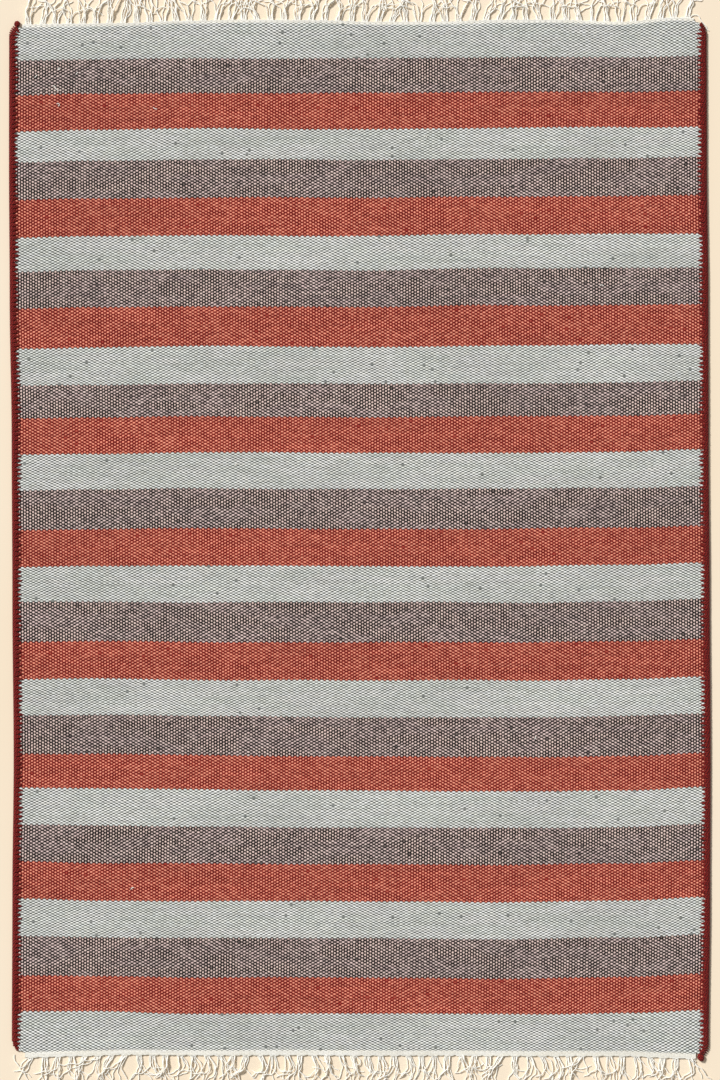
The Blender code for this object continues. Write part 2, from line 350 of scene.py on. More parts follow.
def remap(tree, value, from_low, from_high, to_low, to_high):
    inputs = {0: value, 1: from_low, 2: from_high, 3: to_low, 4: to_high}
    return node(tree, "ShaderNodeMapRange", inputs, interpolation_type="SMOOTHSTEP").outputs[0]


def blend(tree, share, low, high, how="MIX"):
    inputs = {0: share, 6: low, 7: high}
    return node(tree, "ShaderNodeMix", inputs, data_type="RGBA", blend_type=how).outputs[2]


def join(tree, *values):
    return node(tree, "ShaderNodeCombineXYZ", dict(enumerate(values))).outputs[0]


def noise(tree, across, along, seed, detail=2.0):
    inputs = {"Vector": join(tree, across, along, seed), "Scale": 1.0, "Detail": detail}
    return node(tree, "ShaderNodeTexNoise", inputs).outputs[0]


def wave(tree, turns):
    return calc(tree, "COSINE", calc(tree, "MULTIPLY", turns, TURN))


DULL_SPECULAR = 0.2


def plain_material(name):
    """A new material, its node tree and its shader."""
    material = bpy.data.materials.new(name)
    material.use_nodes = True
    shader = material.node_tree.nodes["Principled BSDF"]
    shader.inputs["Specular IOR Level"].default_value = DULL_SPECULAR
    return material, material.node_tree, shader


def weave_coordinates(tree):
    mapped = node(tree, "ShaderNodeUVMap", {}, uv_map="weave").outputs[0]
    split = node(tree, "ShaderNodeSeparateXYZ", {0: mapped})
    return split.outputs[0], split.outputs[1]


NOISE_MIDDLE, NOISE_BODY, NOISE_ENDS = (0.35, 0.65), (0.3, 0.7), (0.25, 0.75)
HAIR_DETAIL = 3.0
WEFT_PATCHES = {
    # what varies from patch to patch: patches a warp, patches a pick, seed of its own
    "slant": (0.06, 0.11, 3.0),
    "ribs": (0.05, 0.10, 5.0),
    "streak": (0.04, 3.7, 7.0),
    "cloud": (0.016, 0.03, 9.0),
}
SLANTS = (-0.09, 0.07)
RIBBED_EDGE = (9, 2)
RIB_SPAN, RIB_SHARES = (0.4, 0.66), (0.3, 1.8)
PLIES_A_WARP, PLIES_A_PICK, PLIES_SHOWN = 2.4, 0.62, 0.06
HAIRS_A_WARP, HAIRS_A_PICK = 5.0, 9.0
# Painted shade between floats: the span of the crown profile over which the gaps are darkened.
GAP_SHADE_SPAN = (-0.9, 0.1)
TINGE_SHARE = 0.5
STREAK_STRENGTH = (0.90, 1.09)
CLOUD_STRENGTH = (0.95, 1.05)
HAIR_STRENGTH = (0.93, 1.05)
FLECK_ABOVE = 0.9965
FLECK_SPAN, FLECK_SHARE = (-0.4, 0.2), 0.7
CROWN_BUMP, PLY_BUMP, HAIR_BUMP = 0.5, 0.10, 0.35
WEFT_BUMP, WEFT_BUMP_DEPTH = 0.8, 0.0007
WOOL_ROUGHNESS = (0.82, 0.96)
WOOL_SHEEN, WOOL_SHEEN_ROUGHNESS = 0.1, 0.6


def weft_material(name, shade_tint, face, tinges, ramp, gap_shade, ribs, uneven, seed):
    """Weft yarn: painted shade between the floats and painted highlights on their crowns, its tone uneven
    from float to float and pick to pick.

    The map counts warps one way and picks the other. Floats rise where the counts add up to an even number.
    The twist of the yarn lets one slant between them show more in some patches, and the warps' ribs in
    others.
    """
    material, tree, shader = plain_material(name)
    warp, pick = weave_coordinates(tree)
    half_sum = calc(tree, "MULTIPLY", calc(tree, "ADD", warp, pick), 0.5)
    half_gap = calc(tree, "MULTIPLY", calc(tree, "SUBTRACT", warp, pick), 0.5)
    rising, falling = wave(tree, half_sum), wave(tree, half_gap)

    def patches(what, along):
        a_warp, a_pick, own_seed = WEFT_PATCHES[what]
        across = calc(tree, "MULTIPLY", warp, a_warp)
        return noise(tree, across, calc(tree, "MULTIPLY", along, a_pick), seed + own_seed)

    slant = remap(tree, patches("slant", pick), *NOISE_MIDDLE, *SLANTS)
    lattice = calc(tree, "MULTIPLY", calc(tree, "ADD", rising, falling), 0.5)
    lattice = calc(tree, "MULTIPLY_ADD", calc(tree, "SUBTRACT", rising, falling), slant, lattice)

    rib_patch = patches("ribs", pick)
    from_middle = calc(tree, "ABSOLUTE", calc(tree, "SUBTRACT", warp, WARP_STEPS / 2))
    ribbed_from, ribbed_to = (WARP_STEPS / 2 - warps for warps in RIBBED_EDGE)
    edge_ribs = remap(tree, from_middle, ribbed_from, ribbed_to, 0.0, ribs)
    inner_ribs = remap(tree, rib_patch, *RIB_SPAN, *(ribs * share for share in RIB_SHARES))
    rib_share = calc(tree, "ADD", inner_ribs, edge_ribs)
    crown = calc(tree, "MULTIPLY_ADD", wave(tree, warp), rib_share, lattice)

    float_across, float_along = calc(tree, "ROUND", half_sum), calc(tree, "ROUND", half_gap)
    cell = join(tree, float_across, float_along, seed)
    chance = node(tree, "ShaderNodeTexWhiteNoise", {"Vector": cell}, noise_dimensions="3D")
    chances = node(tree, "ShaderNodeSeparateColor", {0: chance.outputs["Color"]}).outputs
    ply_turns = calc(tree, "MULTIPLY_ADD", pick, PLIES_A_PICK, calc(tree, "MULTIPLY", warp, PLIES_A_WARP))
    plies = wave(tree, ply_turns)
    hairs_across = calc(tree, "MULTIPLY", warp, HAIRS_A_WARP)
    hairs = noise(tree, hairs_across, calc(tree, "MULTIPLY", pick, HAIRS_A_PICK), seed, HAIR_DETAIL)
    # How far each spot lies from the painted shade between floats towards the painted highlight on their
    # crowns, shifted by each float's own tone and by painted shade along the twist of the plies.
    shown = calc(tree, "MULTIPLY_ADD", calc(tree, "SUBTRACT", chances[0], 0.5), uneven, crown)
    shown = calc(tree, "MULTIPLY_ADD", plies, PLIES_SHOWN, shown)
    colour = blend(tree, remap(tree, shown, *ramp, 0.0, 1.0), linear(shade_tint), linear(face))

    drift = remap(tree, rib_patch, *NOISE_MIDDLE, 0.0, TINGE_SHARE)
    colour = blend(tree, drift, colour, linear(tinges[0]), "MULTIPLY")
    tinged = calc(tree, "MULTIPLY", chances[1], TINGE_SHARE)
    colour = blend(tree, tinged, colour, linear(tinges[1]), "MULTIPLY")
    own_pick = calc(tree, "SUBTRACT", float_across, float_along)
    strength = remap(tree, patches("streak", own_pick), *NOISE_ENDS, *STREAK_STRENGTH)
    # Painted shade darkens the gaps between floats further; streaks from pick to pick, clouds and hairs vary
    # the wool's own tone.
    for value, low, high, strengths in (
        (shown, *GAP_SHADE_SPAN, (gap_shade, 1.0)),
        (patches("cloud", pick), *NOISE_BODY, CLOUD_STRENGTH),
        (hairs, *NOISE_BODY, HAIR_STRENGTH),
    ):
        strength = calc(tree, "MULTIPLY", strength, remap(tree, value, low, high, *strengths))
    colour = blend(tree, 1.0, colour, join(tree, strength, strength, strength), "MULTIPLY")
    # Real dark flecks, drawn in the same dark tint as the painted shade.
    fleck = calc(tree, "GREATER_THAN", chances[2], FLECK_ABOVE)
    fleck = calc(tree, "MULTIPLY", fleck, remap(tree, lattice, *FLECK_SPAN, 0.0, FLECK_SHARE))
    colour = blend(tree, fleck, colour, linear(shade_tint))
    feed(tree, shader.inputs["Base Color"], colour)

    height = calc(tree, "MULTIPLY_ADD", plies, PLY_BUMP, calc(tree, "MULTIPLY", crown, CROWN_BUMP))
    height = calc(tree, "MULTIPLY_ADD", hairs, HAIR_BUMP, height)
    bumps = {"Strength": WEFT_BUMP, "Distance": WEFT_BUMP_DEPTH, "Height": height}
    feed(tree, shader.inputs["Normal"], node(tree, "ShaderNodeBump", bumps).outputs[0])
    feed(tree, shader.inputs["Roughness"], remap(tree, hairs, *NOISE_BODY, *WOOL_ROUGHNESS))
    shader.inputs["Sheen Weight"].default_value = WOOL_SHEEN
    shader.inputs["Sheen Roughness"].default_value = WOOL_SHEEN_ROUGHNESS
    return material


# The darkest tint of each wool is painted shade between the floats and its palest a painted highlight on
# their crowns; the wool's own colour lies between.
SAGE_WOOL = weft_material(
    "sage_wool",
    shade_tint=(46, 54, 50),
    face=(255, 255, 253),
    tinges=((242, 249, 242), (252, 248, 238)),
    ramp=(-0.95, 1.0),
    gap_shade=0.95,
    ribs=0.05,
    uneven=0.22,
    seed=1.0,
)
GREY_WOOL = weft_material(
    "grey_wool",
    shade_tint=(2, 0, 1),
    face=(250, 225, 217),
    tinges=((246, 242, 230), (240, 228, 236)),
    ramp=(-0.52, 1.3),
    gap_shade=0.75,
    ribs=0.30,
    uneven=0.45,
    seed=2.0,
)
RED_WOOL = weft_material(
    "red_wool",
    shade_tint=(143, 0, 0),
    face=(255, 176, 146),
    tinges=((250, 234, 236), (255, 240, 232)),
    ramp=(-0.42, 1.34),
    gap_shade=0.3,
    ribs=0.2,
    uneven=0.42,
    seed=3.0,
)

WEFT_ORDER = (
    # material, slot
    (SAGE_WOOL, "sage_weft"),
    (GREY_WOOL, "grey_weft"),
    (RED_WOOL, "red_weft"),
)
for number, (start, following) in enumerate(zip(STRIPE_STARTS, STRIPE_STARTS[1:])):
    wool, slot = WEFT_ORDER[number % 3]
    bm = new_weave()
    weave_slab(bm, start, following - 1, 0, WARP_STEPS)
    stripe = finish_piece(f"stripe_{number + 1:02d}_{slot[:-5]}", bm, [wool], slot, "rug_body")


# Fringed ends
# The cotton warps run on past the last wool pick. A few picks of fine cotton bind them in a cream heading.
# Beyond it they hang free in bundles of five twisted yarns, crimped from the weaving and lying on the floor.

FAR_FRINGE = "|RrvrvrRrVVlL|rR|L||rrrRrrRR|VrlrrRRrlL|lLr|VvRrvR"
NEAR_FRINGE = "(|lVLL((rrl)R))ll)v)l)r)Rrrr)rrlR|r(|)))r(rR|))|l)"
LAYS = {
    # mark: sideways at the tip, belly to the side half way, fan to each side at the tip
    "|": (0.000, 0.000, 0.004),
    "r": (0.010, 0.000, 0.003),
    "R": (0.020, 0.001, 0.003),
    "l": (-0.009, 0.000, 0.003),
    "L": (-0.018, -0.001, 0.003),
    "v": (0.002, 0.000, 0.006),
    "V": (0.000, 0.000, 0.011),
    ")": (-0.002, 0.010, 0.003),
    "(": (0.002, -0.011, 0.003),
}
STRAY_YARNS = {
    # end, bundle, yarn: degrees it leans aside, degrees it curls, share of its length where it curls
    (FAR, 3, 1): (-12, 330, 0.30),
    (FAR, 3, 3): (8, 60, 0.35),
    (FAR, 12, 4): (22, 0, 0.5),
    (FAR, 20, 0): (-24, 40, 0.4),
    (FAR, 28, 0): (-20, 80, 0.3),
    (FAR, 32, 4): (-34, 0, 0.5),
    (FAR, 33, 0): (30, -20, 0.5),
    (FAR, 41, 2): (-18, 90, 0.3),
    (FAR, 49, 4): (55, 20, 0.3),
    (NEAR, 4, 4): (-38, -30, 0.4),
    (NEAR, 5, 0): (-44, -20, 0.4),
    (NEAR, 5, 4): (15, -340, 0.25),
    (NEAR, 12, 4): (40, 10, 0.4),
    (NEAR, 13, 4): (28, 0, 0.4),
    (NEAR, 14, 0): (-28, 0, 0.4),
    (NEAR, 21, 3): (42, 0, 0.4),
    (NEAR, 24, 4): (30, -230, 0.35),
    (NEAR, 30, 0): (-26, 30, 0.4),
    (NEAR, 32, 1): (12, 300, 0.3),
    (NEAR, 38, 4): (40, -10, 0.4),
    (NEAR, 41, 4): (48, -70, 0.3),
    (NEAR, 43, 3): (36, 0, 0.4),
    (NEAR, 49, 2): (10, 320, 0.3),
}
NO_STRAY = (0, 0, 0.5)
CURL_LENGTH = 0.45
LOCK_WIDTHS = (0.0032, 0.0022, 0.0032)
YARN_OFFSETS = ((-0.00090, 0.00090), (0.0,), (-0.00090, 0.00090))
LOCK_ROOT_STEP = 0.0034
LOCK_CLEAR = 0.0006
LOCK_SECTIONS = (
    # out from the heading, share of the root's width
    (0.000, 1.00),
    (0.009, 0.95),
    (0.022, 0.95),
    (0.038, 0.90),
    (0.060, 0.80),
)
SHORTEST_BY = 0.010
LOCK_STRAY = 0.0015
SLOPE_AT_ROOT = 0.6
EASING_ROUNDS = 60
FRINGE_SEED = 7
FAR_HEADING = 0.005
NEAR_HEADING = 0.010
HEADING_FIRST_WARP = 3

YARN_RADIUS = 0.00100
YARN_SIDES = 6
YARN_STEPS = 42
RING_EVERY = 3
YARN_TWISTS = 13
YARN_WAVES = (
    # waves along the yarn, radians that it swings aside
    (1.1, 0.20),
    (2.4, 0.38),
    (4.7, 0.26),
)
YARN_LEAN = 9.0
YARN_CURL = 45.0
LEAN_SOON = 5
SHORTER_YARN = 0.005
YARN_ROOT_DEPTH = 0.002
YARN_ROOT_Z = 0.0022
YARN_DROP = 0.009
YARN_REACH = 0.00182
YARN_CLIMB = 0.35
YARN_LIFT = 0.0016
HIGHEST_YARN = 0.0068
HEIGHT_EASING = (0.25, 0.5, 0.25)
YARN_THINS, YARN_TIP = 0.1, 0.7
OWN_CLEAR = 7
NEIGHBOURS = 22
LOOKS = 16
LOOK_COLUMNS, LOOK_GAP, LOOK_FILL = 4, 0.01, 0.23
LOOK_SHIFT = 0.37
CAP_ZIGZAG = 0.02
YARN_SEED = 20

PLY_STARTS = 2.0
YARN_PATCHES = (2.0, 0.35)
YARN_HAIRS = (14.0, 5.0)
YARN_HAIRS_SHOWN = 1.6
YARN_RAMP = (-1.0, 0.7)
YARN_TINGE_SHARE = 0.6
YARN_HAIR_BUMP, YARN_BUMP, YARN_BUMP_DEPTH = 0.5, 0.4, 0.0002
YARN_ROUGHNESS = (0.8, 0.95)


def yarn_material(name, shade_tint, face, tinge, seed):
    """Plied yarn: its twist as slanting lines of painted shade in the grooves and painted highlight on the
    plies, on a map that counts turns round it and twists along it.
    """
    material, tree, shader = plain_material(name)
    around, along = weave_coordinates(tree)
    ply = wave(tree, calc(tree, "MULTIPLY_ADD", around, PLY_STARTS, along))
    patch_at = [calc(tree, "MULTIPLY", way, count) for way, count in zip((around, along), YARN_PATCHES)]
    patch = noise(tree, *patch_at, seed)
    hairs_at = [calc(tree, "MULTIPLY", way, count) for way, count in zip((around, along), YARN_HAIRS)]
    hairs = noise(tree, *hairs_at, seed, HAIR_DETAIL)
    shown = calc(tree, "MULTIPLY_ADD", calc(tree, "SUBTRACT", hairs, 0.5), YARN_HAIRS_SHOWN, ply)
    # Painted shade in the twist's grooves and painted highlight on the plies, broken up by hairs.
    colour = blend(tree, remap(tree, shown, *YARN_RAMP, 0.0, 1.0), linear(shade_tint), linear(face))
    tinged = remap(tree, patch, *NOISE_MIDDLE, 0.0, YARN_TINGE_SHARE)
    colour = blend(tree, tinged, colour, linear(tinge), "MULTIPLY")
    feed(tree, shader.inputs["Base Color"], colour)
    height = calc(tree, "MULTIPLY_ADD", hairs, YARN_HAIR_BUMP, ply)
    bumps = {"Strength": YARN_BUMP, "Distance": YARN_BUMP_DEPTH, "Height": height}
    feed(tree, shader.inputs["Normal"], node(tree, "ShaderNodeBump", bumps).outputs[0])
    feed(tree, shader.inputs["Roughness"], remap(tree, hairs, *NOISE_BODY, *YARN_ROUGHNESS))
    shader.inputs["Sheen Weight"].default_value = WOOL_SHEEN
    return material


# The darkest tint is painted shade in the twist's grooves, the palest a painted highlight on the plies.
COTTON_YARN = yarn_material(
    "cotton_yarn",
    shade_tint=(246, 241, 229),
    face=(255, 255, 252),
    tinge=(255, 252, 243),
    seed=4.0,
)
# The heading's darkest and palest tints are likewise painted shade between the floats and painted highlight
# on their crowns.
COTTON_WEFT = weft_material(
    "cotton_weft",
    shade_tint=(226, 222, 210),
    face=(255, 255, 251),
    tinges=((252, 250, 242), (252, 248, 240)),
    ramp=(-1.0, 1.0),
    gap_shade=1.0,
    ribs=0.1,
    uneven=0.3,
    seed=6.0,
)


def level_directions(path):
    """The level direction across a path at each of its points."""
    across = []
    for number in range(len(path)):
        ahead = path[min(number + 1, len(path) - 1)] - path[max(number - 1, 0)]
        across.append(Vector((ahead.y, -ahead.x, 0)).normalized())
    return across


def grow_yarns(bm, yarns, sides, twists, square, slot=0):
    """Grows yarns out of rings, one step of all of them at a time, each along its own path.

    A yarn is its path, the directions across it, its half widths along them, its half heights and its look.
    The look is the place in the image that it shares with yarns that look the same. All paths have as many
    points. Where a yarn touches the floor, it is flat.
    """
    yarn_mark, ring_mark, side_mark = (bm.verts.layers.int.new(name) for name in ("yarn", "ring", "side"))
    weave, bake = bm.loops.layers.uv["weave"], bm.loops.layers.uv["OFBake"]
    last = len(yarns[0][0]) - 1

    def place(vert):
        path, across, widths, heights, _ = yarns[vert[yarn_mark]]
        ring = vert[ring_mark]
        ahead = path[min(ring + 1, last)] - path[max(ring - 1, 0)]
        over = ahead.cross(across[ring]).normalized()
        turn = TURN * (vert[side_mark] / sides - 0.25)
        wide = across[ring] * (widths[ring] * math.cos(turn))
        vert.co = path[ring] + wide + over * (heights[ring] * math.sin(turn))
        vert.co.z = max(vert.co.z, 0.0)

    tips, roots = [], []
    for number in range(len(yarns)):
        circle = bmesh.ops.create_circle(bm, cap_ends=True, segments=sides, radius=YARN_RADIUS)["verts"]
        for side, vert in enumerate(circle):
            vert[yarn_mark], vert[side_mark] = number, side
            place(vert)
        tips.append(circle[0].link_faces[0])
        roots += tips[-1].edges
    older = set(bm.faces) - set(tips)
    for ring in range(1, last + 1):
        tips = bmesh.ops.extrude_discrete_faces(bm, faces=tips)["faces"]
        for tip in tips:
            for vert in tip.verts:
                vert[ring_mark] = ring
                place(vert)
    root_caps = bmesh.ops.holes_fill(bm, edges=roots, sides=sides)["faces"]

    lengths = []
    for path, *_ in yarns:
        steps = [(after - before).length for before, after in zip(path, path[1:])]
        lengths.append([sum(steps[:ring]) / sum(steps) for ring in range(len(path))])
    caps = set(root_caps + tips)
    for face in bm.faces:
        if face in older:
            continue
        face.smooth = face not in caps
        face.material_index = slot
        wraps = face not in caps and {0, sides - 1} <= {vert[side_mark] for vert in face.verts}
        for loop in face.loops:
            number, ring, side = loop.vert[yarn_mark], loop.vert[ring_mark], loop.vert[side_mark]
            look = yarns[number][4]
            around = (sides if wraps and side == 0 else side) / sides
            along = lengths[number][ring]
            if face in caps:
                along += (CAP_ZIGZAG if ring == 0 else -CAP_ZIGZAG) * (side % 2)
            loop[weave].uv = (around, along * twists + look * LOOK_SHIFT)
            column, row = look % LOOK_COLUMNS / LOOK_COLUMNS, look // LOOK_COLUMNS / LOOK_COLUMNS
            up = row + LOOK_GAP + LOOK_FILL * around
            loop[bake].uv = (column + LOOK_GAP + LOOK_FILL * along, square[0] + (square[1] - square[0]) * up)


def lock_rows(end):
    """For each lock, its places across at each section and how far its tip falls short."""
    draw = random.Random(FRINGE_SEED + end)
    marks = NEAR_FRINGE if end == NEAR else FAR_FRINGE
    first = corner_centre(LEFT, end)[0]
    last = corner_centre(RIGHT, end)[0]
    pitch = (last - first) / BUNDLES
    length = LOCK_SECTIONS[-1][0]
    locks = []
    for bundle, mark in enumerate(marks):
        lean, belly, fan = LAYS[mark]
        stray = draw.uniform(-LOCK_STRAY, LOCK_STRAY)
        for number, width in enumerate(LOCK_WIDTHS):
            rank = number - 1
            root = first + (bundle + 0.5) * pitch + rank * LOCK_ROOT_STEP
            tip = lean + rank * fan + stray + draw.uniform(-LOCK_STRAY, LOCK_STRAY)
            places = []
            for out, _ in LOCK_SECTIONS:
                share = out / length
                sway = tip * share * (SLOPE_AT_ROOT + (1 - SLOPE_AT_ROOT) * share)
                places.append(root + sway + belly * math.sin(math.pi * share))
            locks.append((width, places, draw.uniform(0.0, SHORTEST_BY)))
    for section in range(1, len(LOCK_SECTIONS)):
        slimmer = LOCK_SECTIONS[section][1]
        for _ in range(EASING_ROUNDS):
            for (width, places, _), (next_width, next_places, _) in zip(locks, locks[1:]):
                need = (width + next_width) / 2 * slimmer + LOCK_CLEAR
                short = need - (next_places[section] - places[section])
                if short > 0:
                    places[section] -= short / 2
                    next_places[section] += short / 2
    return locks


def yarn_course(draw, end, heading, lock, beside, stray):
    """Where a warp yarn runs, seen from above: along its lock, with waves of its own and any lean or curl."""
    _, places, short = lock
    outs = [out for out, _ in LOCK_SECTIONS]
    lean = np.polyder(np.polyfit(outs, places, len(outs) - 1))
    length = outs[-1] - short - draw.uniform(0.0, SHORTER_YARN)
    starts = [draw.uniform(0, TURN) for _ in YARN_WAVES]
    aside, curl, curl_at = stray
    aside += draw.gauss(0, YARN_LEAN)
    curl += draw.gauss(0, YARN_CURL)
    step = (length + YARN_ROOT_DEPTH) / YARN_STEPS
    across, out = places[0] + beside, -YARN_ROOT_DEPTH
    edge = float(end_y(end, places[0])) + end * heading
    course = []
    for number in range(YARN_STEPS + 1):
        course.append((across, edge + end * out))
        share = number / YARN_STEPS
        angle = math.atan(np.polyval(lean, min(max(out, 0.0), outs[-1])))
        for (waves, swing), start in zip(YARN_WAVES, starts):
            angle += math.sqrt(share) * swing * math.sin(TURN * waves * share + start)
        curled = min(1.0, max(0.0, (share - curl_at) / CURL_LENGTH + 0.5))
        angle += math.radians(aside) * min(1.0, share * LEAN_SOON)
        angle += math.radians(curl) * curled * curled * (3 - 2 * curled)
        across += step * math.sin(angle)
        out += step * math.cos(angle)
    return np.array(course)


def lie_over(course, laid, lift):
    """Heights of a yarn along its course: on the floor, or over yarns that lie there already and itself."""
    others = np.concatenate(laid[-NEIGHBOURS:]) if laid else np.zeros((0, 3))
    heights = []
    for number, spot in enumerate(course):
        passed = max(0, number - OWN_CLEAR)
        own = np.column_stack([course[:passed], heights[:passed]])
        below = np.concatenate([others, own])
        apart = np.hypot(below[:, 0] - spot[0], below[:, 1] - spot[1])
        touching = apart < YARN_REACH
        needed = below[touching, 2] + np.sqrt(YARN_REACH**2 - apart[touching] ** 2)
        heights.append(min(HIGHEST_YARN, max([YARN_RADIUS, *needed])))
    steps = np.arange(len(course))
    climb = YARN_CLIMB * np.linalg.norm(course[1] - course[0])
    held = (np.array(heights)[None, :] - climb * abs(steps[:, None] - steps)).max(1)
    eased = np.convolve(np.pad(held, 1, mode="edge"), HEIGHT_EASING, "valid")
    fallen = np.clip(steps * np.linalg.norm(course[1] - course[0]) / YARN_DROP, 0, 1)
    root_z = YARN_RADIUS + (YARN_ROOT_Z - YARN_RADIUS) * (1 - fallen) ** 2
    return np.maximum(eased, root_z + lift * np.sin(math.pi * steps / len(course)) ** 2)


LAST_HEADING_PICK = STRIPE_STARTS[-1] + NEAR_HEADING_PICKS - 1
for end, name, heading, picks in (
    (FAR, "fringe_far", FAR_HEADING, (-FAR_HEADING_PICKS, -1)),
    (NEAR, "fringe_near", NEAR_HEADING, (STRIPE_STARTS[-1], LAST_HEADING_PICK)),
):
    draw = random.Random(YARN_SEED + end)
    bm = new_weave()
    weave_slab(bm, *picks, HEADING_FIRST_WARP, WARP_STEPS - HEADING_FIRST_WARP, (0.0, 0.5))
    laid, yarns = [], []
    for number, lock in enumerate(lock_rows(end)):
        bundle, in_bundle = divmod(number, len(LOCK_WIDTHS))
        before = sum(len(offsets) for offsets in YARN_OFFSETS[:in_bundle])
        for yarn, beside in enumerate(YARN_OFFSETS[in_bundle]):
            stray = STRAY_YARNS.get((end, bundle, before + yarn), NO_STRAY)
            course = yarn_course(draw, end, heading, lock, beside, stray)
            heights = lie_over(course, laid, max(0.0, draw.gauss(0.0, YARN_LIFT)))
            laid.append(np.column_stack([course, heights]))
            path = [Vector(spot) for spot in laid[-1][::RING_EVERY]]
            sizes = [YARN_RADIUS * (1 - YARN_THINS * ring / len(path)) for ring in range(len(path))]
            sizes[-1] *= YARN_TIP
            yarns.append((path, level_directions(path), sizes, sizes, draw.randrange(LOOKS)))
    grow_yarns(bm, yarns, YARN_SIDES, YARN_TWISTS, (0.5, 1.0), 1)
    finish_piece(f"{name}_cotton", bm, [COTTON_WEFT, COTTON_YARN], "cream_cotton", name)


# Caught cotton
# Short ends of white cotton were caught in the weft as it was beaten, most of them in the first stripes. Each
# lies in a small curl on the cloth.

CAUGHT_RADIUS = 0.00065
CAUGHT_STEPS = 11
CAUGHT_SIDES, CAUGHT_TWISTS = 5, 4
CAUGHT_SUNK, CAUGHT_TIP = 0.6, 0.6
CAUGHT_ENDS = (
    # across, along, length, degrees that it points, degrees that it curls
    (-0.527, 0.8210, 0.013, 60, 420),
    (-0.540, 0.7920, 0.011, 20, -150),
    (-0.534, 0.7890, 0.009, -70, 70),
    (-0.530, 0.7570, 0.012, 10, 260),
    (-0.363, 0.7550, 0.009, -50, 60),
    (-0.571, 0.8070, 0.007, 30, 50),
    (-0.498, 0.8120, 0.006, 80, -60),
    (0.118, 0.7010, 0.008, 100, 90),
    (0.421, 0.4420, 0.009, 40, -110),
    (-0.214, 0.1280, 0.007, 150, 80),
    (0.306, -0.3540, 0.008, 20, 120),
    (-0.402, -0.6180, 0.008, 75, -90),
)

caught = []
for number, (across, along, length, points, curl) in enumerate(CAUGHT_ENDS):
    path = []
    spot = Vector((across, along, CLOTH_THICK + CAUGHT_RADIUS * CAUGHT_SUNK))
    for step in range(CAUGHT_STEPS):
        share = step / (CAUGHT_STEPS - 1)
        path.append(spot.copy())
        turn = math.radians(points + curl * share)
        spot += Vector((math.cos(turn), math.sin(turn), 0)) * (length / CAUGHT_STEPS)
        spot.z += CAUGHT_RADIUS * 2 * abs(curl) / 360 / CAUGHT_STEPS
    sizes = [CAUGHT_RADIUS] * CAUGHT_STEPS
    sizes[0] = sizes[-1] = CAUGHT_RADIUS * CAUGHT_TIP
    caught.append((path, level_directions(path), sizes, sizes, number))
bm = new_weave()
grow_yarns(bm, caught, CAUGHT_SIDES, CAUGHT_TWISTS, (0.0, 1.0))
finish_piece("caught_cotton", bm, [COTTON_YARN], "cream_cotton")


# Whipped selvedges
# Dark red wool yarn whipped three strands to a stitch over the outermost warps. Each stitch goes down into
# the cloth at one hole, which leaves a row of wedges along its edge. The yarn ends in a knot at one corner of
# each side and tapers away at the other.

STITCH_PITCH = 0.0078
STRANDS = 3
BINDING_WIDTH = 0.008
BINDING_TOP = 0.0058
STITCH_BITE = (0.0060, 0.0100)
STITCH_SLANT = (-0.0006, 0.0014)
STRAND_WIDTH = 0.00142
STRAND_HEIGHT = 0.00075
STRAND_SIDES = 5
STRAND_TWISTS = 7
CORE_WIDTH = 0.0046
CORE_HEIGHT = 0.0018
CORE_MIDDLE = (0.0022, 0.0029)
CORE_RINGS, CORE_SIDES, CORE_TWISTS = 60, 8, 300
CORE_LOOK = 3
STITCH_SQUARE, CORE_SQUARE = (0.0, 0.94), (0.955, 0.995)
STRAND_RISE = (-0.0001, 0.0003)
TAPER_HEIGHT = (0.55, 0.45)
TAPER_WIDTH = (0.45, 0.55)
EDGE_STEP, CORNER_STEP = 0.01, 2.0
HALF_STEP = 0.002
BINDING_SEED = 40
TAPER_DEGREES = 44
TAPER_LENGTH = 0.018
TAPER_SIZE = 0.35
KNOT_DEGREES = 62
KNOT_TURNED = 68
KNOT_OUT = 0.0078
KNOT_SIZES = {
    # side: half its width, half its length away from the corner, half its height
    LEFT: (0.0056, 0.0056, 0.0042),
    RIGHT: (0.0062, 0.0084, 0.0043),
}
KNOT_WINDINGS = 11
KNOT_STEPS, KNOT_TWISTS = 15, 9
KNOT_LEVELS, KNOT_WOUND = 0.72, 1.03
KNOT_REACH, KNOT_REACH_STEP, KNOT_REACHES = 0.80, 0.03, 3
KNOT_STRAND_WIDER, KNOT_STRAND_THICKER = 1.15, 1.1
GOLDEN_TURN = 2.3999

# The darkest tint is painted shade in the twist's grooves, the palest a painted highlight on the plies; the
# wool's own dark red lies between.
BINDING_WOOL = yarn_material(
    "binding_wool",
    shade_tint=(34, 3, 3),
    face=(150, 34, 28),
    tinge=(222, 190, 190),
    seed=8.0,
)


def edge_line(side, near_degrees, far_degrees):
    """The cloth's side between the ends of its binding: lengths along it, points and outward directions."""
    near_centre, far_centre = corner_centre(side, NEAR), corner_centre(side, FAR)
    line = []
    for turn in np.radians(np.arange(near_degrees, 0.0, -CORNER_STEP)):
        line.append((near_centre, side * math.cos(turn), -math.sin(turn), CORNER_RADIUS))
    for along in np.arange(near_centre[1], far_centre[1], EDGE_STEP):
        line.append(((float(side_x(side, along)), along), side, 0.0, 0.0))
    for turn in np.radians(np.arange(0.0, far_degrees + 1.0, CORNER_STEP)):
        line.append((far_centre, side * math.cos(turn), math.sin(turn), CORNER_RADIUS))
    outward = np.array([(x, y) for _, x, y, _ in line])
    reach = np.array([row[3] for row in line])[:, None]
    points = np.array([middle for middle, *_ in line]) + outward * reach
    lengths = np.concatenate([[0], np.cumsum(np.linalg.norm(np.diff(points, axis=0), axis=1))])
    return lengths, points, outward


